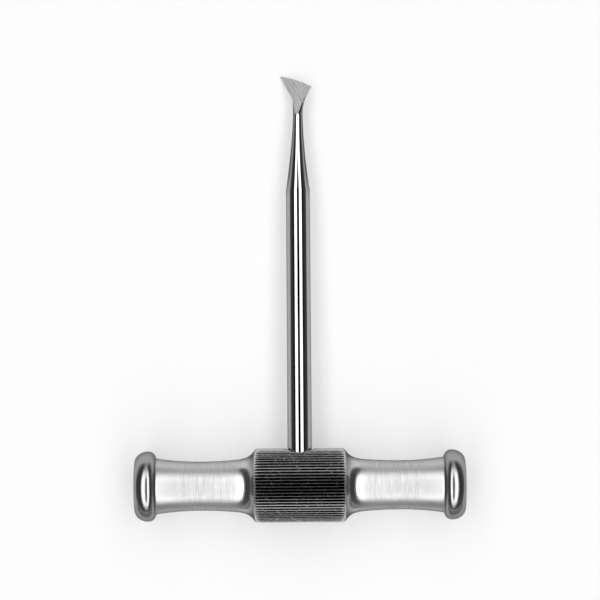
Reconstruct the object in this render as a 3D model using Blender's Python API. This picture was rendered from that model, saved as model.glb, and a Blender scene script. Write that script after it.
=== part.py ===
# Cross-bar dental root elevator, lying on a table as it comes to rest.
# It is made of two pieces of stainless steel: a turned cross bar with a straight-knurled grip, and a
# round shank that is soldered into the grip and ends in a ground, fan-shaped blade.
# The bar runs along X, the shank along +Y and slightly down, and +Z is up. The table is at Z = 0.

import math

import bmesh
import bpy
from mathutils import Matrix, Vector

MM = 0.001

# Cross bar, along X
BAR_LENGTH = 80.0 * MM
GRIP_DIAMETER = 18.0 * MM
GRIP_LENGTH = 22.4 * MM  # over the chamfers
GRIP_CHAMFER = 0.62 * MM
WAIST_DIAMETER = 11.9 * MM
WAIST_PLACE = 24.4 * MM  # from the middle of the bar
WAIST_INNER_RADIUS = 105.0 * MM  # long curve of the waist, on the grip's side
WAIST_OUTER_RADIUS = 68.0 * MM  # long curve of the waist, on the bead's side
FLARE_RADIUS = 7.5 * MM  # tight curve that sweeps up to the grip
BEAD_DIAMETER = 17.0 * MM
BEAD_ROUND = 2.7 * MM  # radius of the bead's rim
BEAD_CUT = 0.1 * MM  # how far the flat end cuts into the rim

# Straight knurl on the grip
TEETH = 72
KNURL_DEPTH = 0.32 * MM
KNURL_ANGLE = math.radians(90.0)

# Shank and its seat in the grip
SHANK_DIAMETER = 5.95 * MM  # where it leaves the grip
SHOULDER_DIAMETER = 5.84 * MM
POINT_PLACE = 100.4 * MM  # of the blade's long left corner, from the bar's axis
TAPER_LENGTH = 18.45 * MM  # from the shoulder to where the ground face starts
TANG_DEPTH = 12.0 * MM  # length of shank inside the grip
TANG_CHAMFER = 0.4 * MM
SEAT_CLEARANCE = 0.1 * MM  # round the tang
SEAT_END_GAP = 0.3 * MM
DRILL_POINT = math.radians(118.0)

# Neck and blade
NECK_DIAMETER = 2.4 * MM
NECK_HOLLOW = 1.6  # how hollow the taper down to the neck is: 1 is a plain cone
NECK_SHIFT = 0.13 * MM  # of the neck and the blade, to the right of the shank's axis
HEEL_LENGTH = 9.5 * MM  # from the point back to where the right side leaves the neck
HEEL_RADIUS = 9.6 * MM  # blends the right side into the neck
HEEL_ANGLE = math.radians(29.5)  # of the right side, from the shank's axis
CORNER_DROP = 3.0 * MM  # of the short right corner, behind the point
FLANK_ANGLE = math.radians(27.0)  # of the ground left side
POINT_OFFSET = 4.24 * MM  # of the point, to the left of the shank's axis
NOTCH_SWELL = 0.12 * MM  # of the neck, up to where the left flank meets it
LEFT_SPREAD = 0.65  # how fast the body widens under the left flank
EDGE_RADIUS = 22.7 * MM  # of the curved end
FACE_LENGTH = 10.1 * MM  # of the ground face, from the point back to its start on the neck
FACE_SLOPE = 0.38  # how fast the ground face falls towards the blade's end
FACE_LEAN = 0.26  # how fast it rises from left to right
EDGE_SINK = 0.06 * MM  # of the body's widest line below the face, at the blade's end
EDGE_DEPTH = 0.34 * MM  # of the body below that line
FACE_BITE = 2.5  # how early the widest line comes up to the face: 1 is evenly along the blade

# Facets
SHANK_SIDES = 40
BEAD_STEPS = 9
WAIST_STEPS = 5
FLARE_STEPS = 7
TAPER_STEPS = 10
NECK_STEPS = 8
BLADE_STEPS = 8
EDGE_STEPS = 8

# Room for cutters to pass clear of what they cut
CUT_MARGIN = 2.0 * MM
GROOVE_MARGIN = 0.02 * MM
FLANK_START = 0.005  # share of the left flank that is left above the notch, so that no edges coincide

GRIP_RADIUS = GRIP_DIAMETER / 2
WAIST_RADIUS = WAIST_DIAMETER / 2
BEAD_PLACE = BAR_LENGTH / 2 - BEAD_ROUND + BEAD_CUT  # of the bead's widest point, from the bar's middle
SHANK_RADIUS = SHANK_DIAMETER / 2
SHOULDER_RADIUS = SHOULDER_DIAMETER / 2
NECK_RADIUS = NECK_DIAMETER / 2
HEEL_CORNER_PLACE = POINT_PLACE - CORNER_DROP
HEEL_PLACE = POINT_PLACE - HEEL_LENGTH
FACE_PLACE = POINT_PLACE - FACE_LENGTH
SHOULDER_PLACE = FACE_PLACE - TAPER_LENGTH
FACE_TOUCH = NECK_RADIUS * math.hypot(1.0, FACE_LEAN)  # height of the face over the axis where it starts
TANG_END = GRIP_RADIUS - TANG_DEPTH
HALF_PITCH = math.pi / TEETH


def clear_scene():
    for old in list(bpy.data.objects):
        bpy.data.objects.remove(old)


def steel(name, colour, roughness):
    material = bpy.data.materials.new(name)
    material.use_nodes = True
    shader = material.node_tree.nodes["Principled BSDF"]
    shader.inputs["Base Color"].default_value = (*colour, 1.0)
    shader.inputs["Metallic"].default_value = 1.0
    shader.inputs["Roughness"].default_value = roughness
    return material


def make_object(name, form, material=None):
    mesh = bpy.data.meshes.new(name)
    bmesh.ops.recalc_face_normals(form, faces=form.faces)
    form.to_mesh(mesh)
    form.free()
    mesh.shade_smooth()
    mesh.set_sharp_from_angle(angle=math.radians(25.0))
    made = bpy.data.objects.new(name, mesh)
    bpy.context.scene.collection.objects.link(made)
    if material:
        mesh.materials.append(material)
    return made


def make_cutter(name, form):
    cutter = make_object(name, form)
    cutter.hide_render = True
    cutter.display_type = "WIRE"
    return cutter


def cut(target, cutter):
    boolean = target.modifiers.new(cutter.name, "BOOLEAN")
    boolean.operation = "DIFFERENCE"
    boolean.object = cutter


def arc(centre, radius, start, end, steps):
    """Points of an arc in the profile's plane, both ends included."""
    angles = [start + (end - start) * i / steps for i in range(steps + 1)]
    return [
        Vector((centre[0] + radius * math.cos(a), centre[1] + radius * math.sin(a)))
        for a in angles
    ]


def circles_meet(centre_a, radius_a, centre_b, radius_b, side):
    """Where two circles cross: side 1 is to the left of the line from a to b, and -1 to its right."""
    line = centre_b - centre_a
    along = (line.length_squared + radius_a**2 - radius_b**2) / (2 * line.length)
    across = math.sqrt(radius_a**2 - along**2)
    direction = line.normalized()
    return centre_a + along * direction + side * across * direction.orthogonal()


def angle_from(centre, point):
    return math.atan2(point.y - centre.y, point.x - centre.x)


def bar_half_profile():
    """(distance from the middle, radius) from the grip's crown out to the end face, as smooth arcs."""
    rim = Vector((GRIP_LENGTH / 2, GRIP_RADIUS - GRIP_CHAMFER))
    crown = Vector((GRIP_LENGTH / 2 - GRIP_CHAMFER, GRIP_RADIUS))
    inner = Vector((WAIST_PLACE, WAIST_RADIUS + WAIST_INNER_RADIUS))
    outer = Vector((WAIST_PLACE, WAIST_RADIUS + WAIST_OUTER_RADIUS))
    bead = Vector((BEAD_PLACE, BEAD_DIAMETER / 2 - BEAD_ROUND))
    flare = circles_meet(rim, FLARE_RADIUS, inner, WAIST_INNER_RADIUS - FLARE_RADIUS, -1)
    neck_end = circles_meet(outer, WAIST_OUTER_RADIUS, bead, BEAD_ROUND, -1)
    blend = angle_from(inner, flare)
    below = -math.pi / 2
    bead_start = angle_from(bead, neck_end)
    points = [crown]
    points += arc(flare, FLARE_RADIUS, angle_from(flare, rim), blend, FLARE_STEPS)
    points += arc(inner, WAIST_INNER_RADIUS, blend, below, WAIST_STEPS)[1:]
    points += arc(outer, WAIST_OUTER_RADIUS, below, angle_from(outer, neck_end), WAIST_STEPS)[1:]
    bead_end = math.acos(1 - BEAD_CUT / BEAD_ROUND)
    points += arc(bead, BEAD_ROUND, bead_start, bead_end, BEAD_STEPS)[1:]
    return points


def turned(profile, sides):
    """A solid of revolution about X from (place, radius) points, with a corner of it straight down."""
    form = bmesh.new()
    outline = [Vector((profile[0].x, 0.0)), *profile, Vector((profile[-1].x, 0.0))]
    corners = [form.verts.new((p.x, 0.0, -p.y)) for p in outline]
    edges = [form.edges.new(pair) for pair in zip(corners, corners[1:], strict=False)]
    bmesh.ops.spin(
        form,
        geom=corners + edges,
        cent=(0.0, 0.0, 0.0),
        axis=(1.0, 0.0, 0.0),
        angle=2 * math.pi,
        steps=sides,
        use_merge=True,
    )
    bmesh.ops.remove_doubles(form, verts=form.verts, dist=0.001 * MM)
    return form


def bar_form():
    """The blank of the bar, turned so that a flat of it lies under each groove."""
    half = bar_half_profile()
    profile = [Vector((-p.x, p.y)) for p in reversed(half)] + half
    form = turned(profile, TEETH)
    bmesh.ops.rotate(form, verts=form.verts, matrix=Matrix.Rotation(HALF_PITCH, 3, "X"))
    return form


def groove_cutters():
    """One V-shaped cutter for each groove of the knurl, running out through both chamfers."""
    root = GRIP_RADIUS - KNURL_DEPTH
    wall = GRIP_RADIUS + GROOVE_MARGIN
    half_width = (wall - root) * math.tan(KNURL_ANGLE / 2)
    top = GRIP_RADIUS + CUT_MARGIN
    section = [(0.0, root), (half_width, wall), (half_width, top)]
    section += [(-half_width, top), (-half_width, wall)]
    start = -GRIP_LENGTH / 2 - CUT_MARGIN
    form = bmesh.new()
    for tooth in range(TEETH):
        turn = Matrix.Rotation(2 * HALF_PITCH * tooth, 4, "X")
        corners = [form.verts.new(turn @ Vector((start, y, -z))) for y, z in section]
        end = form.faces.new(corners)
        pushed = bmesh.ops.extrude_face_region(form, geom=[end])["geom"]
        moved = [item for item in pushed if isinstance(item, bmesh.types.BMVert)]
        bmesh.ops.translate(form, verts=moved, vec=(GRIP_LENGTH + 2 * CUT_MARGIN, 0.0, 0.0))
    return form


def drill_form():
    """The blind hole for the tang, along the shank's axis, with the cone that a twist drill leaves."""
    radius = SHANK_RADIUS + SEAT_CLEARANCE
    bottom = TANG_END - SEAT_END_GAP
    point = bottom - radius / math.tan(DRILL_POINT / 2)
    mouth = GRIP_RADIUS + CUT_MARGIN
    form = turned([Vector((point, 0.0)), Vector((bottom, radius)), Vector((mouth, radius))], SHANK_SIDES)
    bmesh.ops.rotate(form, verts=form.verts, matrix=Matrix.Rotation(math.pi / 2, 3, "Z"))
    return form


def right_side(place):
    """Distance from the shank's axis to the blade's right side, which blends out of the neck."""
    past = max(0.0, place - HEEL_PLACE)
    if past < HEEL_RADIUS * math.sin(HEEL_ANGLE):
        flare = HEEL_RADIUS - math.sqrt(HEEL_RADIUS**2 - past**2)
    else:
        flare = (past - HEEL_RADIUS * math.tan(HEEL_ANGLE / 2)) * math.tan(HEEL_ANGLE)
    return NECK_RADIUS + NECK_SHIFT + flare


def notch_place():
    """Where the straight left flank, going down from the point, reaches the swollen neck."""
    return POINT_PLACE - (POINT_OFFSET - NECK_RADIUS + NECK_SHIFT - NOTCH_SWELL) / math.tan(FLANK_ANGLE)


def left_side(place):
    """Distance to the body's left side, wider past the notch than the flank that is cut later."""
    swell = NOTCH_SWELL * min(1.0, (place - FACE_PLACE) / (notch_place() - FACE_PLACE)) ** 2
    return NECK_RADIUS - NECK_SHIFT + swell + LEFT_SPREAD * max(0.0, place - notch_place())


def taper_sections():
    """Sections of the tang, the shank and its taper, as (place, left, right, middle, depth, lean)."""
    rounds = [
        (TANG_END, SHANK_RADIUS - TANG_CHAMFER, 0.0),
        (TANG_END + TANG_CHAMFER, SHANK_RADIUS, 0.0),
        (GRIP_RADIUS, SHANK_RADIUS, 0.0),
    ]
    for i in range(TAPER_STEPS):
        share = 1 - i / TAPER_STEPS
        place = FACE_PLACE + (SHOULDER_PLACE - FACE_PLACE) * share
        radius = NECK_RADIUS + (SHOULDER_RADIUS - NECK_RADIUS) * share**NECK_HOLLOW
        rounds.append((place, radius, NECK_SHIFT * (1 - share) ** 2))
    return [(place, radius - shift, radius + shift, 0.0, radius, 0.0) for place, radius, shift in rounds]


def blade_section(place):
    """Section of the body that the face is ground on: it starts as the round neck, thins and leans."""
    share = max(0.0, (HEEL_CORNER_PLACE - place) / (HEEL_CORNER_PLACE - FACE_PLACE))
    sink = EDGE_SINK + (FACE_TOUCH - EDGE_SINK) * share**FACE_BITE
    depth = EDGE_DEPTH + (NECK_RADIUS - EDGE_DEPTH) * share
    middle = FACE_TOUCH - FACE_SLOPE * (place - FACE_PLACE) - sink
    return (place, left_side(place), right_side(place), middle, depth, FACE_LEAN * (1 - share))


def shank_sections():
    notch = notch_place()
    over = POINT_PLACE + CUT_MARGIN
    places = [FACE_PLACE + (notch - FACE_PLACE) * i / NECK_STEPS for i in range(NECK_STEPS)]
    places += [notch + (over - notch) * i / BLADE_STEPS for i in range(BLADE_STEPS + 1)]
    return taper_sections() + [blade_section(place) for place in places]


def lofted(sections, sides):
    """A closed loft along Y: one end face is pushed from section to section and reshaped at each."""
    form = bmesh.new()
    bmesh.ops.create_circle(form, cap_ends=True, segments=sides, radius=1.0)
    angles = [math.atan2(v.co.y, v.co.x) for v in form.verts]
    form.faces.ensure_lookup_table()
    cap = form.faces[0]
    for index, (place, left, right, middle, depth, lean) in enumerate(sections):
        if index:
            pushed = bmesh.ops.extrude_face_region(form, geom=[cap])["geom"]
            if index > 1:
                bmesh.ops.delete(form, geom=[cap], context="FACES_ONLY")
            cap = next(item for item in pushed if isinstance(item, bmesh.types.BMFace))
        for corner, angle in zip(cap.verts, angles, strict=True):
            across = math.cos(angle) * (right if math.cos(angle) > 0 else left)
            corner.co = (across, place, middle + lean * across + depth * math.sin(angle))
    return form


def face_cutter():
    """Everything above the ground face, a plane that falls towards the blade's end and to its left."""
    form = bmesh.new()
    bmesh.ops.create_cube(form, size=1.0)
    length = 2 * (POINT_PLACE - FACE_PLACE) + 4 * CUT_MARGIN
    width = 6 * POINT_OFFSET
    height = 4 * SHOULDER_DIAMETER
    bmesh.ops.scale(form, verts=form.verts, vec=(width, length, height))
    bmesh.ops.translate(form, verts=form.verts, vec=(0.0, 0.0, height / 2))
    for corner in form.verts:
        corner.co.z += FACE_TOUCH + FACE_LEAN * corner.co.x - FACE_SLOPE * corner.co.y
        corner.co.y += FACE_PLACE
    return form


def trim_cutter():
    """Everything outside the left flank and the curved end, as one outline pushed through the blade."""
    notch = Vector((-left_side(notch_place()), notch_place()))
    point = Vector((-POINT_OFFSET, POINT_PLACE))
    corner = Vector((right_side(HEEL_CORNER_PLACE), HEEL_CORNER_PLACE))
    centre = circles_meet(point, EDGE_RADIUS, corner, EDGE_RADIUS, -1)
    end_arc = arc(centre, EDGE_RADIUS, angle_from(centre, point), angle_from(centre, corner), EDGE_STEPS)
    reach = 2 * POINT_OFFSET
    past = corner + (end_arc[-1] - end_arc[-2]).normalized() * reach
    outline = [notch.lerp(point, FLANK_START), *end_arc, past]
    outline += [Vector((reach, POINT_PLACE + reach)), Vector((-2 * reach, POINT_PLACE + reach))]
    outline += [Vector((-2 * reach, notch.y - CUT_MARGIN))]
    form = bmesh.new()
    low = -2 * SHOULDER_DIAMETER
    bottom = form.faces.new([form.verts.new((p.x, p.y, low)) for p in outline])
    pushed = bmesh.ops.extrude_face_region(form, geom=[bottom])["geom"]
    moved = [item for item in pushed if isinstance(item, bmesh.types.BMVert)]
    bmesh.ops.translate(form, verts=moved, vec=(0.0, 0.0, -2 * low))
    return form


def finished_points(target):
    """The corners of an object's finished mesh, in its own frame."""
    bpy.context.view_layer.update()
    evaluated = target.evaluated_get(bpy.context.evaluated_depsgraph_get())
    points = [vertex.co.copy() for vertex in evaluated.to_mesh().vertices]
    evaluated.to_mesh_clear()
    return points


def rest_tilt(points, height):
    """How far the shank tips down from level before the first of its points meets the table."""
    tilts = []
    for point in points:
        reach = math.hypot(point.y, point.z)
        if point.y > SHOULDER_PLACE and reach > height:
            tilts.append(math.asin(height / reach) + math.atan2(point.z, point.y))
    return min(tilts)


def main():
    clear_scene()
    satin = steel("satin_steel", (0.60, 0.60, 0.61), 0.28)
    polished = steel("polished_steel", (0.62, 0.62, 0.63), 0.08)

    handle = make_object("handle", bar_form(), satin)
    grooves = make_cutter("groove_cutters", groove_cutters())
    drill = make_cutter("drill", drill_form())
    cut(handle, grooves)

    shank = make_object("shank", lofted(shank_sections(), SHANK_SIDES), polished)
    face = make_cutter("face_cutter", face_cutter())
    trim = make_cutter("trim_cutter", trim_cutter())
    cut(shank, face)
    cut(shank, trim)

    # The bar rests on two teeth of its grip and the shank tips down until the blade touches the table.
    bar_points = finished_points(handle)
    shank_points = finished_points(shank)
    height = -min(p.z for p in bar_points)
    tilt = rest_tilt(shank_points, height)
    far = max(p.y * math.cos(tilt) + p.z * math.sin(tilt) for p in shank_points)
    near = min(p.y for p in bar_points)
    rest = bpy.data.objects.new("bar_axis", None)
    rest.location = (0.0, -(far + near) / 2, height)
    bpy.context.scene.collection.objects.link(rest)
    for piece in (handle, grooves):
        piece.parent = rest
    for piece in (shank, face, trim, drill):
        piece.parent = rest
        piece.rotation_euler.x = -tilt
    cut(handle, drill)


main()
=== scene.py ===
import math

import bmesh
import bpy
from mathutils import Matrix, Vector


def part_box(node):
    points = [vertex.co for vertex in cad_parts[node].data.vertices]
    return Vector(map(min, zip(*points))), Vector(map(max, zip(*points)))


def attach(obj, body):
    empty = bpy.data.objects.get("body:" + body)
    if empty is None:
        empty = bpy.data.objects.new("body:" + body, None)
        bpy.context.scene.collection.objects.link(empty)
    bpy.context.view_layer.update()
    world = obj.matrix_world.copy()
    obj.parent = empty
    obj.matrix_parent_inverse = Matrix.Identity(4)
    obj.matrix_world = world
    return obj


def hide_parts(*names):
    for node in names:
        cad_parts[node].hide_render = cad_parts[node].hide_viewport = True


# Cross-bar elevator: the turned handle with its knurl, and the shank with its ground blade
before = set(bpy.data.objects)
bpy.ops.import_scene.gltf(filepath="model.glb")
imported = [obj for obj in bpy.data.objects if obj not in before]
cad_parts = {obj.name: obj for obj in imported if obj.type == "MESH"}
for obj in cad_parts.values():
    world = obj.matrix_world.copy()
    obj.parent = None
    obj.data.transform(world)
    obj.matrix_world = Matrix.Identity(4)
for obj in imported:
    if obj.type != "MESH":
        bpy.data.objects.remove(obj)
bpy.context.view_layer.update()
mm = 0.001
weld = 0.001 * mm  # corners closer than this are one

handleLow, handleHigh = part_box("handle")
barCentre = (handleLow + handleHigh) / 2


class Field:
    # one output of a node tree; sums of these and of plain numbers add Math nodes
    def __init__(self, tree, socket=None):
        self.tree = tree
        self.socket = socket

    def node(self, kind, settings=(), inputs=(), output=0):
        made = self.tree.nodes.new("ShaderNode" + kind)
        for key, value in dict(settings).items():
            setattr(made, key, value)
        for key, value in dict(inputs).items():
            if isinstance(value, Field):
                self.tree.links.new(value.socket, made.inputs[key])
            else:
                made.inputs[key].default_value = value
        return Field(self.tree, made.outputs[output])

    def math(self, operation, *values):
        return self.node("Math", {"operation": operation}, enumerate(values))

    def __add__(self, other):
        return self.math("ADD", self, other)

    def __sub__(self, other):
        return self.math("SUBTRACT", self, other)

    def __rsub__(self, other):
        return self.math("SUBTRACT", other, self)

    def __mul__(self, other):
        return self.math("MULTIPLY", self, other)

    def __truediv__(self, other):
        return self.math("DIVIDE", self, other)

    def __pow__(self, other):
        return self.math("POWER", self, other)

    __radd__ = __add__
    __rmul__ = __mul__

    def step(self, low, high):
        # 0 below low and 1 above high, with a soft rise between
        names = {"Value": self, "From Min": low, "From Max": high}
        return self.node("MapRange", {"interpolation_type": "SMOOTHSTEP"}, names)

    def noise(self, places, scales, detail):
        # places are three values, and each has its own scale
        vector = self.vector(*[place * scale for place, scale in zip(places, scales, strict=True)])
        names = {"Vector": vector, "Scale": 1.0, "Detail": detail}
        return self.node("TexNoise", {"noise_dimensions": "3D"}, names)

    def vector(self, x, y, z):
        return self.node("CombineXYZ", (), {"X": x, "Y": y, "Z": z})

    def place(self, centre):
        # Object coordinates from a centre, as three values
        whole = self.node("TexCoord", (), (), "Object")
        moved = self.node("VectorMath", {"operation": "SUBTRACT"}, {0: whole, 1: tuple(centre)})
        return [self.node("SeparateXYZ", (), {"Vector": moved}, axis) for axis in "XYZ"]

    def tint(self, share, dark, light):
        # each of the two colours is a grey level or a field
        dark, light = [c if isinstance(c, Field) else (c, c, c, 1) for c in (dark, light)]
        names = {0: share, 6: dark, 7: light}
        return self.node("Mix", {"data_type": "RGBA"}, names, 2)


def newMaterial(name, settings):
    made = bpy.data.materials.new(name)
    made.use_nodes = True
    shader = made.node_tree.nodes["Principled BSDF"]
    for key, value in settings.items():
        shader.inputs[key].default_value = value
    return made, shader, Field(made.node_tree)


def newMetal(name, values):
    edge = values["edge"]
    return newMaterial(name, {
        "Metallic": 1.0,
        "Anisotropic": values.get("anisotropic", 0.0),
        "Anisotropic Rotation": values.get("turn", 0.0),
        "Specular Tint": (edge, edge, edge, 1),
    })


def connect(shader, colour, roughness, height, depth, strength):
    normal = height.node("Bump", (), {"Height": height, "Distance": depth, "Strength": strength})
    for name, value in (("Base Color", colour), ("Roughness", roughness), ("Normal", normal)):
        value.tree.links.new(value.socket, shader.inputs[name])


def newPiece(name, form, sharpAngle):
    bmesh.ops.recalc_face_normals(form, faces=form.faces)
    mesh = bpy.data.meshes.new(name)
    form.to_mesh(mesh)
    form.free()
    mesh.shade_smooth()
    mesh.set_sharp_from_angle(angle=math.radians(sharpAngle))
    made = bpy.data.objects.new(name, mesh)
    bpy.context.scene.collection.objects.link(made)
    return made


def circlesMeet(a, radiusA, b, radiusB, side):
    line = b - a
    along = (line.length_squared + radiusA**2 - radiusB**2) / (2 * line.length)
    across = math.sqrt(radiusA**2 - along**2)
    return a + along * line.normalized() + side * across * line.normalized().orthogonal()


def angleFrom(centre, point):
    return math.atan2(point.y - centre.y, point.x - centre.x)


handle = {
    "length": 80.0 * mm,
    "gripDiameter": 17.997 * mm,
    "gripLength": 22.4 * mm,
    "gripChamfer": 0.62 * mm,
    "waistDiameter": 11.9 * mm,
    "waistPlace": 24.4 * mm,
    "waistInnerRadius": 105.0 * mm,
    "waistOuterRadius": 68.0 * mm,
    "flareRadius": 7.5 * mm,
    "flareShift": 0.5 * mm,  # of the flare's middle towards the grip
    "beadDiameter": 17.0 * mm,
    "beadRound": 2.7 * mm,
    "beadCut": 0.1 * mm,
    "crownShift": 0.55 * mm,  # of the bead's crown towards the grip
    "crownFlat": 0.2,  # how much flatter the crown's inner side is than round
    "teeth": 72,
    "knurlDepth": 0.54 * mm,
    "crestShare": 0.035,  # of the pitch that stays flat
    "toothSteps": 8,
    "rimEdge": 0.03 * mm,  # where the flare meets the grip
    "creaseEdge": 0.4 * mm,  # where the arm meets the bead
    "softEdge": 0.12 * mm,  # round the flat end
    "steps": (8, 8, 14, 8, 12, 26),  # of the grip, chamfer, flare, the arm's two arcs and the bead
    "satinChamfer": 0.8,  # share of the grip's chamfer that looks like the arm
}


def drawArc(form, last, centre, turn, steps):
    # swings the profile's last point round a centre in the XZ plane
    middle = Vector((centre.x, 0, centre.y))
    made = bmesh.ops.spin(form, geom=[last], cent=middle, axis=(0, -1, 0), angle=turn, steps=steps)
    return next(v for v in made["geom_last"] if isinstance(v, bmesh.types.BMVert))


def drawLine(form, last, x, z, steps=1):
    start = last.co.copy()
    for step in range(1, steps + 1):
        made = bmesh.ops.extrude_vert_indiv(form, verts=[last])
        last = made["verts"][0]
        last.co = start.lerp(Vector((x, 0, z)), step / steps)
    return last


def handleForm(values):
    gripRadius = values["gripDiameter"] / 2
    waistRadius = values["waistDiameter"] / 2
    beadPlace = values["length"] / 2 - values["beadRound"] + values["beadCut"]
    rim = Vector((values["gripLength"] / 2, gripRadius - values["gripChamfer"]))
    inner = Vector((values["waistPlace"], waistRadius + values["waistInnerRadius"]))
    outer = Vector((values["waistPlace"], waistRadius + values["waistOuterRadius"]))
    bead = Vector((beadPlace, values["beadDiameter"] / 2 - values["beadRound"]))
    flareReach = values["waistInnerRadius"] - values["flareRadius"]
    flare = circlesMeet(rim, values["flareRadius"], inner, flareReach, -1)
    meeting = circlesMeet(outer, values["waistOuterRadius"], bead, values["beadRound"], -1)
    below = -math.pi / 2
    blend = angleFrom(inner, flare)
    beadStart = angleFrom(bead, meeting)
    beadEnd = math.acos(1 - values["beadCut"] / values["beadRound"])
    gripSteps, chamferSteps, flareSteps, innerSteps, outerSteps, beadSteps = values["steps"]

    form = bmesh.new()
    first = form.verts.new((0, 0, gripRadius))
    crown = drawLine(form, first, rim.x - values["gripChamfer"], gripRadius, gripSteps)
    edge = drawLine(form, crown, rim.x, rim.y, chamferSteps)
    last = drawArc(form, edge, flare, blend - angleFrom(flare, rim), flareSteps)
    last = drawArc(form, last, inner, below - blend, innerSteps)
    crease = drawArc(form, last, outer, angleFrom(outer, meeting) - below, outerSteps)
    last = drawArc(form, crease, bead, beadEnd - beadStart, beadSteps)
    drawLine(form, last, values["length"] / 2, 0, 1)
    shapeBead(form, values, beadPlace, meeting.x)
    flareEnd = inner.x + values["waistInnerRadius"] * math.cos(blend)
    shiftFlare(form, values, rim.x + values["rimEdge"], flareEnd)
    edges = ((edge, values["rimEdge"]), (crease, values["creaseEdge"]), (last, values["softEdge"]))
    for softened, offset in edges:
        bmesh.ops.bevel(
            form, geom=[softened], offset=offset, affect="VERTICES",
            segments=3, profile=0.5, material=-1,
        )
    profile = form.verts[:] + form.edges[:]
    bmesh.ops.mirror(form, geom=profile, axis="X", merge_dist=weld)
    for corner in form.verts:
        corner.co.z *= -1  # so that the first row lies straight down, in the root of a groove
    spinWhole(form, (1, 0, 0), values["teeth"] * values["toothSteps"])
    return form


def spinWhole(form, axis, steps):
    # turns a profile once round an axis through the origin and welds it
    bmesh.ops.spin(
        form, geom=form.verts[:] + form.edges[:], cent=(0, 0, 0), axis=axis,
        angle=2 * math.pi, steps=steps, use_merge=True,
    )
    bmesh.ops.remove_doubles(form, verts=form.verts, dist=weld)


def shiftFlare(form, values, start, end):
    # moves what lies between two places towards the grip, most in the middle
    for corner in form.verts:
        if start < corner.co.x < end:
            share = (corner.co.x - start) / (end - start)
            corner.co.x -= values["flareShift"] * math.sin(math.pi * share)


def shapeBead(form, values, place, crease):
    # moves the crown inwards and flattens its inner side
    end = values["length"] / 2
    crown = place - values["crownShift"]
    for corner in form.verts:
        away = corner.co.x - place
        if away > 0:
            corner.co.x = crown + away * (end - crown) / (end - place)
        elif corner.co.x > crease:
            share = (away / (place - crease)) ** 2
            spread = 1 + values["crownFlat"] * (1 - share)
            corner.co.x = crown + away * spread * (crown - crease) / (place - crease)


def pressKnurl(form, values):
    # presses the grooves into the grip and lets them run out through its chamfers
    pitch = 2 * math.pi / values["teeth"]
    root = values["gripDiameter"] / 2 - values["knurlDepth"]
    flank = 0.5 - values["crestShare"] / 2  # of the pitch, from a root up to a crest
    lastRow = 0.5 - 1 / values["toothSteps"]  # the row of corners next to a crest's middle
    for corner in form.verts:
        radius = math.hypot(corner.co.y, corner.co.z)
        if abs(corner.co.x) > values["gripLength"] / 2 or radius < root:
            continue
        turn = math.atan2(corner.co.y, -corner.co.z) / pitch
        share = turn - round(turn)
        if abs(share) < (lastRow + 0.5) / 2:  # spreads the flanks and leaves a narrow crest
            share *= flank / lastRow
        turn = (round(turn) + share) * pitch
        radius = min(radius, root + values["knurlDepth"] * abs(share) / flank)
        corner.co.yz = (radius * math.sin(turn), -radius * math.cos(turn))


def drillForm(values):
    # the blind hole that the shank's tang sits in, with its cone and its flared mouth
    radius = values["diameter"] / 2 + values["clearance"]
    grip = handle["gripDiameter"] / 2
    bottom = grip - values["tangDepth"] - values["endGap"]
    spread = (values["mouthDepth"] + values["over"]) * values["mouthSlope"]
    form = bmesh.new()
    last = form.verts.new((0, bottom - radius * values["coneSlope"], 0))
    last = drawUp(form, last, radius, bottom)
    last = drawUp(form, last, radius, grip - values["mouthDepth"])
    last = drawUp(form, last, radius + spread, grip + values["over"])
    drawUp(form, last, 0, grip + values["over"])
    spinWhole(form, (0, 1, 0), values["sides"])
    for face in form.faces:
        face.material_index = 1
    return form


def drawUp(form, last, x, y):
    made = bmesh.ops.extrude_vert_indiv(form, verts=[last])["verts"][0]
    made.co = Vector((x, y, 0))
    return made


shank = {
    "tilt": math.radians(2.883),
    "diameter": 5.95 * mm,
    "shoulderDiameter": 5.84 * mm,
    "shoulderPlace": 71.85 * mm,
    "tangDepth": 12.0 * mm,
    "tangChamfer": 0.4 * mm,
    "clearance": 0.1 * mm,
    "endGap": 0.3 * mm,
    "coneSlope": 0.6,  # of the hole's bottom
    "mouthDepth": 1.5 * mm,
    "mouthSlope": 0.42,
    "over": 2.0 * mm,  # that the drill and the unground blade are too long
    "neckDiameter": 2.4 * mm,
    "neckHollow": 1.6,  # 1 would be a straight taper
    "neckShift": 0.13 * mm,  # of the neck to the right
    "heelPlace": 90.9 * mm,
    "heelRadius": 9.6 * mm,
    "heelAngle": math.radians(29.5),
    "heelCorner": 97.4 * mm,
    "flankAngle": math.radians(27.0),
    "pointPlace": 100.4 * mm,
    "pointOffset": 4.24 * mm,
    "notchSwell": 0.12 * mm,
    "leftSpread": 0.65,  # of the unground left side, per length
    "edgeRadius": 22.7 * mm,
    "facePlace": 90.3 * mm,
    "faceSlope": 0.38,
    "faceLean": 0.26,
    "edgeSink": 0.06 * mm,
    "edgeDepth": 0.337 * mm,
    "faceBite": 2.5,
    "groundPlace": 93.3 * mm,  # from here on, the blade is ground all round
    "ridge": math.radians(5.0),  # of the neck's upper side, on either side of its middle
    "ridgeEnds": (73.0 * mm, 84.5 * mm),
    "pinch": 0.28,  # narrows the section's upper side beside the face
    "pinchReach": 3.0 * mm,
    "sides": 96,
    "steps": {"bar": 6, "taper": 30, "face": 16, "blade": 30, "edge": 28},
}
shank["neck"] = shank["neckDiameter"] / 2
shank["faceTouch"] = shank["neck"] * math.hypot(1, shank["faceLean"])
shank["notch"] = shank["pointPlace"] - (
    shank["pointOffset"] - shank["neck"] + shank["neckShift"] - shank["notchSwell"]
) / math.tan(shank["flankAngle"])


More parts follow.
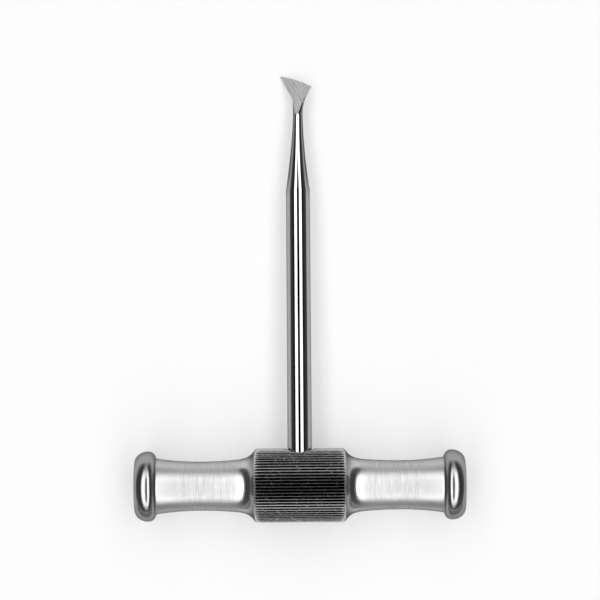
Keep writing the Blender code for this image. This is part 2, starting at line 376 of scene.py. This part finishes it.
def rightSide(place):
    past = max(0.0, place - shank["heelPlace"])
    radius, angle = shank["heelRadius"], shank["heelAngle"]
    if past < radius * math.sin(angle):
        flare = radius - math.sqrt(radius**2 - past**2)
    else:
        flare = (past - radius * math.tan(angle / 2)) * math.tan(angle)
    return shank["neck"] + shank["neckShift"] + flare


def leftSide(place):
    start, notch = shank["facePlace"], shank["notch"]
    swell = shank["notchSwell"] * min(1.0, (place - start) / (notch - start)) ** 2
    spread = shank["leftSpread"] * max(0.0, place - notch)
    return shank["neck"] - shank["neckShift"] + swell + spread


def shankSections():
    # (place, left, right, middle, depth, lean) of each cross-section, from the tang to past the blade
    grip = handle["gripDiameter"] / 2
    radius, neck = shank["diameter"] / 2, shank["neck"]
    tangEnd = grip - shank["tangDepth"]
    rounds = [(tangEnd, radius - shank["tangChamfer"], 0), (tangEnd + shank["tangChamfer"], radius, 0)]
    rounds += [(grip, radius, 0)]
    face, shoulder, notch = shank["facePlace"], shank["shoulderPlace"], shank["notch"]
    shoulderRadius = shank["shoulderDiameter"] / 2
    steps = shank["steps"]
    for step in range(steps["bar"], 0, -1):
        share = step / steps["bar"]
        size = shoulderRadius + (radius - shoulderRadius) * share
        # a trifle short, so that the first isn't in the same place as the section at the grip
        rounds.append((shoulder + (grip - shoulder) * share * 0.999, size, 0))
    for step in range(steps["taper"]):
        share = 1 - step / steps["taper"]
        size = neck + (shoulderRadius - neck) * share ** shank["neckHollow"]
        rounds.append((face + (shoulder - face) * share, size, shank["neckShift"] * (1 - share) ** 2))
    sections = [(place, size - shift, size + shift, 0.0, size, 0.0) for place, size, shift in rounds]
    end = shank["pointPlace"] + shank["over"]
    places = [face + (notch - face) * step / steps["face"] for step in range(steps["face"])]
    places += [notch + (end - notch) * step / steps["blade"] for step in range(steps["blade"] + 1)]
    for place in places:
        share = max(0.0, (shank["heelCorner"] - place) / (shank["heelCorner"] - face))
        sink = shank["edgeSink"] + (shank["faceTouch"] - shank["edgeSink"]) * share ** shank["faceBite"]
        depth = shank["edgeDepth"] + (neck - shank["edgeDepth"]) * share
        middle = shank["faceTouch"] - shank["faceSlope"] * (place - face) - sink
        lean = shank["faceLean"] * (1 - share)
        sections.append((place, leftSide(place), rightSide(place), middle, depth, lean))
    return sections


def shankForm():
    form = bmesh.new()
    bmesh.ops.create_circle(form, cap_ends=True, segments=shank["sides"], radius=1.0)
    angles = [math.atan2(v.co.y, v.co.x) for v in form.verts]
    form.faces.ensure_lookup_table()
    cap = form.faces[0]
    for index, (place, left, right, middle, depth, lean) in enumerate(shankSections()):
        if index:
            pushed = bmesh.ops.extrude_face_region(form, geom=[cap])["geom"]
            if index > 1:
                bmesh.ops.delete(form, geom=[cap], context="FACES_ONLY")
            cap = next(item for item in pushed if isinstance(item, bmesh.types.BMFace))
        past = min(1.0, max(0.0, (place - shank["facePlace"]) / shank["pinchReach"]))
        pinch = shank["pinch"] * math.sin(math.pi * past**0.5)
        low, high = shank["ridgeEnds"]
        ridge = shank["ridge"] * min(1.0, max(0.0, (place - low) / (high - low)))
        for corner, angle in zip(cap.verts, angles, strict=True):
            side, up = ridgedCircle(angle, ridge)
            across = side * (right if side > 0 else left)
            across *= 1 - pinch * max(0.0, up) ** 2
            corner.co = (across, place, middle + lean * across + depth * up)
    return form


def ridgedCircle(angle, ridge):
    # a point of a circle of radius 1, whose upper side has a faint ridge in the middle
    side, up = math.cos(angle), math.sin(angle)
    if up <= 0 or ridge == 0:
        return side, up
    turn = ridge + math.asin(min(1.0, abs(side))) * (1 - ridge / (math.pi / 2))
    across = (math.sin(turn) - math.sin(ridge)) / (1 - math.sin(ridge))
    return math.copysign(across, side), math.cos(turn) / math.cos(ridge)


def grind(form, point, normal, start):
    # past a place along the shank, takes off what stands outside a plane and closes the cut
    faces = [f for f in form.faces if all(v.co.y > start for v in f.verts)]
    edges = {e for f in faces for e in f.edges}
    corners = {v for f in faces for v in f.verts}
    cut = bmesh.ops.bisect_plane(
        form, geom=[*corners, *edges, *faces], dist=weld / 10,
        plane_co=point, plane_no=normal, clear_outer=True,
    )["geom_cut"]
    rim = [e for e in cut if isinstance(e, bmesh.types.BMEdge)]
    filled = bmesh.ops.edgeloop_fill(form, edges=rim)["faces"]
    for face in filled:
        face.material_index = 1


def grindBlade(form):
    # the curved edge, the straight flank and the leaning face
    point = Vector((-shank["pointOffset"], shank["pointPlace"]))
    corner = Vector((rightSide(shank["heelCorner"]), shank["heelCorner"]))
    centre = circlesMeet(point, shank["edgeRadius"], corner, shank["edgeRadius"], -1)
    start, end = angleFrom(centre, point), angleFrom(centre, corner)
    steps, past = shank["steps"]["edge"], 2
    for step in range(-past, steps + past + 1):
        angle = start + (end - start) * step / steps
        outward = Vector((math.cos(angle), math.sin(angle), 0))
        grind(form, Vector((*centre, 0)) + outward * shank["edgeRadius"], outward, shank["notch"])
    flank = Vector((-math.cos(shank["flankAngle"]), -math.sin(shank["flankAngle"]), 0))
    grind(form, Vector((*point, 0)), flank, shank["notch"] - weld)
    face = Vector((-shank["faceLean"], shank["faceSlope"], 1)).normalized()
    grind(form, Vector((0, shank["facePlace"], shank["faceTouch"])), face, shank["shoulderPlace"])
    for side in form.faces:
        if side.calc_center_median().y > shank["groundPlace"]:
            side.material_index = 1


def barPlaces(field):
    # the place along the bar with the direction round its axis, which has no seam, and the radius
    x, y, z = field.place(barCentre)
    radius = (y * y + z * z) ** 0.5
    return (x, y / radius, z / radius), radius


def patterns(field, places, look, *names):
    # one noise for each name, of which the look has the three scales and the detail
    return [field.noise(places, *look[name]) for name in names]


satinLook = {
    "base": 0.555,
    "edge": 0.22,
    "anisotropic": 0.3,
    "turn": 0.25,
    "flare": 0.17,  # roughness of the flare, of the rest of the arm and of its middle
    "ends": 0.37,
    "middle": 0.43,
    "flareEnd": (12.6 * mm, 16.5 * mm),  # from the grip's middle, as the places below
    "middleStart": (15.0 * mm, 17.5 * mm),
    "middleEnd": (28.0 * mm, 31.5 * mm),
    "paintedShades": ((11.3 * mm, 13.4 * mm, 0.55), (11.1 * mm, 11.25 * mm, 0.65)),  # painted shade towards the grip's rim: start, end and level
    "lines": ((5200, 2.2, 2.2), 3),
    "bands": ((1300, 3.0, 3.0), 2),
    "streaks": ((4500, 1.5, 1.5), 2),
    "breaks": ((500, 5, 5), 2),
    "streakEdges": (0.35, 0.65),
    "breakEdges": (0.4, 0.6),
    "breakLevel": 0.4,  # of the streaks where they are broken
    "tints": (0.84, 1.12),
    "bandRoughness": 0.15,
    "lineRoughness": (0.03, 0.12),  # everywhere, and more in the middle
    "bump": (0.004 * mm, 0.4),  # height and strength
}
beadLook = {
    "base": 0.35,
    "edge": 0.4,
    "roughness": 0.20,
    "lines": ((6000, 2, 2), 2),
    "smears": ((300, 3, 3), 2),
    "tints": (0.94, 1.04),
    "lineRoughness": 0.05,
    "bump": (0.001 * mm, 0.3),
}
knurlLook = {
    "base": 0.39,
    "edge": 0.6,
    "roots": 0.14,  # roughness in the roots and on the crests
    "crests": 0.29,
    # painted shade: the colour deep in the grooves, as a share of the base
    "rootShade": 0.02,
    "liftEnds": (0.12, 0.42),  # shares of the groove's depth, over which the crest's look fades into the painted shade of the roots
    "grain": ((1500, 60, 60), 3),
    "specks": ((2200, 60, 60), 0),
    "speckEdges": (0.70, 0.78),
    "wearAndShade": 0.85,  # the crests' level against the painted shade of the roots, and how far the grain varies it
    "wearGrain": 0.4,
    "wearSpecks": 0.9,
    "grainRoughness": 0.08,
    "speckRoughness": 0.35,
    "bump": (0.004 * mm, 0.3),
}
mirrorLook = {
    "base": 0.41,
    "edge": 0.45,
    "roughness": 0.02,
    "neck": 0.10,  # roughness of the neck
    "neckStart": (74.0 * mm, 82.0 * mm),
    "neckSideShade": 0.13,  # painted shade on the neck's sides
    "sideStart": (69.0 * mm, 77.0 * mm),
    "sideTurn": (0.2, 0.5),
    "hairs": ((9000, 400, 9000), 2),
    "smears": ((300, 120, 300), 2),
    "tints": (0.96, 1.03),
    "hairRoughness": 0.02,
    "bump": (0.002 * mm, 0.3),
}
groundLook = {
    "base": 0.45,
    "edge": 0.9,
    "roughness": 0.42,
    "centre": (-19.0 * mm, 41.5 * mm, 0),  # that the grinding lines run round
    "lines": ((4000, 5, 0), 3),
    "fine": ((8500, 9, 4), 2),
    "lineShare": 0.6,
    "lineEdges": (0.36, 0.64),
    "tints": (0.72, 1.24),
    "fineRoughness": 0.15,
    "bump": (0.008 * mm, 0.4),
}


def turnedSatin(look):
    # crisp on the flare by the grip, with painted shade darkening it towards the grip's rim, and
    # streaked by fine turning lines in the middle of each arm
    made, shader, field = newMetal("turned_satin_steel", look)
    places = barPlaces(field)[0]
    reach = field.math("ABSOLUTE", places[0])
    middle = reach.step(*look["middleStart"]) * (1 - reach.step(*look["middleEnd"]))
    lines, bands, streaks, breaks = patterns(field, places, look, "lines", "bands", "streaks", "breaks")
    streaks = (streaks.step(*look["streakEdges"]) - 0.5) * middle
    whole = breaks.step(*look["breakEdges"]) * (1 - look["breakLevel"]) + look["breakLevel"]
    level = look["base"]
    dark, light = look["tints"]
    colour = field.tint(streaks * whole + 0.5, level * dark, level * light)
    # painted shade: the flare and the chamfer ring darken towards the grip's rim
    for start, end, share in look["paintedShades"]:
        colour = field.tint(reach.step(start, end), level * share, colour)
    roughness = look["flare"] + reach.step(*look["flareEnd"]) * (look["ends"] - look["flare"])
    roughness += middle * (look["middle"] - look["ends"] + (bands - 0.5) * look["bandRoughness"])
    everywhere, more = look["lineRoughness"]
    roughness += (lines - 0.5) * (everywhere + middle * more)
    connect(shader, colour, roughness, lines * middle, *look["bump"])
    return made


def polishedBead(look):
    made, shader, field = newMetal("polished_bead_steel", look)
    lines, smears = patterns(field, barPlaces(field)[0], look, "lines", "smears")
    dark, light = look["tints"]
    colour = field.tint(smears, look["base"] * dark, look["base"] * light)
    roughness = look["roughness"] + (lines - 0.5) * look["lineRoughness"]
    connect(shader, colour, roughness, lines, *look["bump"])
    return made


def knurledSteel(look):
    # painted shade makes the roots of the grooves nearly black, with worn, uneven crests that follow
    # the chamfers down
    made, shader, field = newMetal("knurled_steel", look)
    places, radius = barPlaces(field)
    chamfer = field.math("ABSOLUTE", places[0]) - (handle["gripLength"] / 2 - handle["gripChamfer"])
    crest = handle["gripDiameter"] / 2 - field.math("MAXIMUM", chamfer, 0.0)
    lift = 1 - (crest - radius).step(*[handle["knurlDepth"] * share for share in look["liftEnds"]])
    grain, specks = patterns(field, places, look, "grain", "specks")
    specks = specks.step(*look["speckEdges"])
    # painted shade deep in the grooves, with grain and specks varying the crests
    wearAndShade = lift * (look["wearAndShade"] + (grain - 0.5) * look["wearGrain"]) + specks * look["wearSpecks"]
    colour = field.tint(wearAndShade, look["base"] * look["rootShade"], look["base"])
    roughness = look["roots"] + lift * (look["crests"] - look["roots"])
    roughness += (grain - 0.5) * look["grainRoughness"] + specks * look["speckRoughness"]
    connect(shader, colour, roughness, grain, *look["bump"])
    return made


def mirrorSteel(look):
    # a mirror along the shank, softer on the neck, with painted shade on the neck's sides
    made, shader, field = newMetal("mirror_polished_steel", look)
    places = field.place(barCentre)
    hairs, smears = patterns(field, places, look, "hairs", "smears")
    turned = field.node("LayerWeight", (), {"Blend": 0.5}, "Facing").step(*look["sideTurn"])
    dark, light = look["tints"]
    colour = field.tint(smears, look["base"] * dark, look["base"] * light)
    # painted shade: the neck's sides darken where they turn away from the view
    colour = field.tint(turned * places[1].step(*look["sideStart"]), colour, look["neckSideShade"])
    softer = look["neck"] - look["roughness"]
    roughness = look["roughness"] + places[1].step(*look["neckStart"]) * softer
    roughness += (hairs - 0.5) * look["hairRoughness"]
    connect(shader, colour, roughness, smears, *look["bump"])
    return made


def groundSteel(look):
    # slightly arched grinding lines, from the blade's right side up to its point
    made, shader, field = newMetal("ground_blade_steel", look)
    x, y = field.place(look["centre"])[:2]
    places = ((x * x + y * y) ** 0.5, field.math("ARCTAN2", y, x), 1.0)
    lines, fine = patterns(field, places, look, "lines", "fine")
    mixed = lines * look["lineShare"] + fine * (1 - look["lineShare"])
    dark, light = look["tints"]
    colour = field.tint(mixed.step(*look["lineEdges"]), look["base"] * dark, look["base"] * light)
    roughness = look["roughness"] + (fine - 0.5) * look["fineRoughness"]
    connect(shader, colour, roughness, lines, *look["bump"])
    return made


def buildHandle():
    form = handleForm(handle)
    pressKnurl(form, handle)
    gripEnd = handle["gripLength"] / 2 - handle["satinChamfer"] * handle["gripChamfer"]
    beadStart = handle["length"] / 2 - 2 * handle["beadRound"] + handle["beadCut"]
    for face in form.faces:
        reach = abs(face.calc_center_median().x)
        face.material_index = 1 if reach < gripEnd else 2 if reach > beadStart else 0
    made = newPiece("fineHandle", form, 30)
    # the hole is cut with a modifier, whose result becomes the mesh
    drill = newPiece("drill", drillForm(shank), 50)
    drill.rotation_euler.x = -shank["tilt"]
    cut = made.modifiers.new("bore", "BOOLEAN")
    cut.operation = "DIFFERENCE"
    cut.object = drill
    bpy.context.view_layer.update()
    whole = made.evaluated_get(bpy.context.evaluated_depsgraph_get())
    made.data = bpy.data.meshes.new_from_object(whole)
    made.modifiers.clear()
    bpy.data.objects.remove(drill)
    made.data.transform(Matrix.Translation(barCentre))
    made.data.use_auto_texspace = False
    made.data.texspace_location = barCentre
    made.data.texspace_size = (1, 1000, 1)  # so that the brushing runs round the bar
    for material in (turnedSatin(satinLook), knurledSteel(knurlLook), polishedBead(beadLook)):
        made.data.materials.append(material)
    return made


def buildShank():
    form = shankForm()
    grindBlade(form)
    made = newPiece("fineShank", form, 30)
    for face in made.data.polygons:
        face.use_smooth = len(face.vertices) < 8  # the ground face and the tang's end are flat
    corners = made.data.vertices
    for edge in made.data.edges:
        ends = [corners[index].co for index in edge.vertices]
        # along the neck's ridge
        if all(abs(end.x) < weld and end.y > shank["ridgeEnds"][0] and end.z > 0 for end in ends):
            edge.use_edge_sharp = True
    made.data.transform(Matrix.Translation(barCentre) @ Matrix.Rotation(-shank["tilt"], 4, "X"))
    for material in (mirrorSteel(mirrorLook), groundSteel(groundLook)):
        made.data.materials.append(material)
    return made


print("handle")
handlePiece = buildHandle()
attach(handlePiece, "root")
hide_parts("handle")
print("shank")
shankPiece = buildShank()
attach(shankPiece, "root")
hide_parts("shank")


studio = {
    "height": 3.0,  # of the wide lamp
    "lampSides": (-36.0, 35.5),  # across, in degrees from straight up
    "lampEnds": (-84.0, -46.0, 30.0, 72.0),  # off, full, full and off, along the shank
    "gapSides": (-11.5, 11.3),  # of the dark gap that the camera looks through
    "gapBlur": 0.8,
    "gapEnds": (-56.0, -42.0, 20.0, 60.0),
    "lampLevel": 3.3,
    "roomLevel": 0.07,  # light from the room on the object
    "background": 0.95,
    "floor": 0.42,
    "floorSize": 40.0,
    "floorGlow": 0.44,  # what the camera and reflections see besides the lit floor
    "floorReach": (0.9, 3.0),  # from the object out to where the glow alone is left
    "wallLevel": 0.15,
    "wallFade": 1.5,
    "endWidth": 8.0,  # of the near and far walls
    "farLevel": 0.6,
    "nearLevel": 0.25,
    # low cards just out of the picture, seen in the bar's near side and in the beads' ends
    "nearFlag": {"away": 32.0 * mm, "height": 14.0 * mm, "width": 160.0 * mm, "level": 0.34},
    "sideFlag": {"away": 78.0 * mm, "height": 16.0 * mm, "width": 312.0 * mm, "level": 0.8},
}


def seenRays(field):
    # 1 for what the camera sees, also in metal or through glass, and 0 for light
    kinds = ("Camera", "Glossy", "Transmission")
    rays = [field.node("LightPath", (), (), "Is %s Ray" % kind) for kind in kinds]
    return field.math("MINIMUM", rays[0] + rays[1] + rays[2], 1.0)


def paleFloor(values):
    # lit near the object, and as pale as the background far from it
    matte = {"Roughness": 0.9, "Specular IOR Level": 0.0, "Emission Strength": 1.0}
    made, shader, field = newMaterial("pale_floor", matte)
    x, y = field.place((0, 0, 0))[:2]
    away = ((x * x + y * y) ** 0.5).step(*values["floorReach"])
    glow = values["floorGlow"]
    seen = seenRays(field) * (away * (values["background"] - glow) + glow)
    lit = field.tint(away, values["floor"], 0.0)
    for name, value in (("Base Color", lit), ("Emission Color", field.vector(seen, seen, seen))):
        field.tree.links.new(value.socket, shader.inputs[name])
    return made


def glowMaterial(name, level):
    # level is a number, or makes one from a field and the place on the card
    made = bpy.data.materials.new(name)
    made.use_nodes = True
    tree = made.node_tree
    tree.nodes.clear()
    field = Field(tree)
    strength = level(field, *field.place((0, 0, 0))) if callable(level) else level
    glow = field.node("Emission", (), {"Strength": strength})
    out = tree.nodes.new("ShaderNodeOutputMaterial")
    tree.links.new(glow.socket, out.inputs["Surface"])
    return made


def card(name, width, length, matrix, material, reflectedOnly=False):
    form = bmesh.new()
    bmesh.ops.create_grid(form, x_segments=1, y_segments=1, size=0.5)
    bmesh.ops.scale(form, verts=form.verts, vec=(width, length, 1))
    bmesh.ops.transform(form, verts=form.verts, matrix=matrix)
    mesh = bpy.data.meshes.new(name)
    form.to_mesh(mesh)
    form.free()
    made = bpy.data.objects.new(name, mesh)
    bpy.context.scene.collection.objects.link(made)
    mesh.materials.append(material)
    if reflectedOnly:
        made.visible_camera = False
        made.visible_diffuse = False
        made.visible_shadow = False
        made.visible_transmission = False
    return made


def buildStudio(values):
    height = values["height"]

    def at(degrees):
        return height * math.tan(math.radians(degrees))

    def within(turn, *degrees):
        a, b, c, d = [math.radians(v) for v in degrees]
        return turn.step(a, b) * (1 - turn.step(c, d))

    def lampGlow(field, x, y, z):
        along = field.math("ARCTAN2", y, height)
        across = field.math("ARCTAN2", x, height)
        left, right = values["gapSides"]
        sides = (left, left + values["gapBlur"], right - values["gapBlur"], right)
        gap = within(along, *values["gapEnds"]) * within(across, *sides)
        a, b, c, d = [math.radians(v) for v in values["lampEnds"]]
        near, far = values["nearLevel"], values["farLevel"]
        level = near + along.step(a, b) * (values["lampLevel"] - near)
        return (level + along.step(c, d) * (far - values["lampLevel"])) * (1 - gap)

    low, high = at(values["lampEnds"][0]), at(values["lampEnds"][3])
    left, right = [at(v) for v in values["lampSides"]]
    place = Matrix.Translation(((left + right) / 2, (low + high) / 2, height))
    flip = Matrix.Rotation(math.pi, 4, "X")
    lamp = card("lamp", right - left, high - low, place @ flip, glowMaterial("lamp_glow", lampGlow))
    lamp.visible_camera = False
    floorSize = values["floorSize"]
    card("floor", floorSize, floorSize, Matrix.Identity(4), paleFloor(values))

    def wallGlow(field, x, y, z):
        # dark by the lamp, and lighter down to the floor
        return values["wallLevel"] * (1 - z / height) ** values["wallFade"]

    wall = glowMaterial("dark_wall", wallGlow)
    upright = Matrix.Rotation(math.pi / 2, 4, "Y")
    flag = values["sideFlag"]
    glow = glowMaterial("side_flag", flag["level"])
    for name, side in (("left", left), ("right", right)):
        place = Matrix.Translation((side, 0, height / 2)) @ upright
        card(name + "Wall", height, floorSize, place, wall, True)
        place = Matrix.Translation((math.copysign(flag["away"], side), 0, flag["height"] / 2)) @ upright
        card(name + "Flag", flag["height"], flag["width"], place, glow, True)
    upright = Matrix.Rotation(math.pi / 2, 4, "X")
    for name, side in (("near", low), ("far", high)):
        end = glowMaterial(name + "_wall", values[name + "Level"])
        place = Matrix.Translation((0, side, height / 2)) @ upright
        card(name + "Wall", values["endWidth"], height, place, end, True)
    flag = values["nearFlag"]
    place = Matrix.Translation((0, barCentre.y - flag["away"], flag["height"] / 2)) @ upright
    glow = glowMaterial("near_flag", flag["level"])
    card("nearFlag", flag["width"], flag["height"], place, glow, True)


def buildWorld(values):
    # pale to the camera and in reflections, and dim as a light
    world = bpy.data.worlds.new("room")
    bpy.context.scene.world = world
    world.use_nodes = True
    tree = world.node_tree
    tree.nodes.clear()
    field = Field(tree)
    level = values["roomLevel"] + seenRays(field) * (values["background"] - values["roomLevel"])
    back = field.node("Background", (), {"Color": (1, 1, 1, 1), "Strength": level})
    out = tree.nodes.new("ShaderNodeOutputWorld")
    tree.links.new(back.socket, out.inputs["Surface"])


view = {
    "place": (0.00033, 0.0450, 0.5640),  # across, along from the bar's axis, and up
    "turn": math.radians(-0.42),
    "lens": 137.22,
    "sensor": 36.0,
    "clip": (0.05, 100.0),
}


def buildCamera(values):
    data = bpy.data.cameras.new("camera")
    data.lens = values["lens"]
    data.sensor_width = values["sensor"]
    data.clip_start, data.clip_end = values["clip"]
    made = bpy.data.objects.new("camera", data)
    across, along, up = values["place"]
    made.location = (across, barCentre.y + along, up)
    made.rotation_euler = (0, 0, values["turn"])
    bpy.context.scene.collection.objects.link(made)
    bpy.context.scene.camera = made


print("studio")
buildStudio(studio)
buildWorld(studio)
buildCamera(view)
bpy.context.scene.view_settings.view_transform = "Standard"
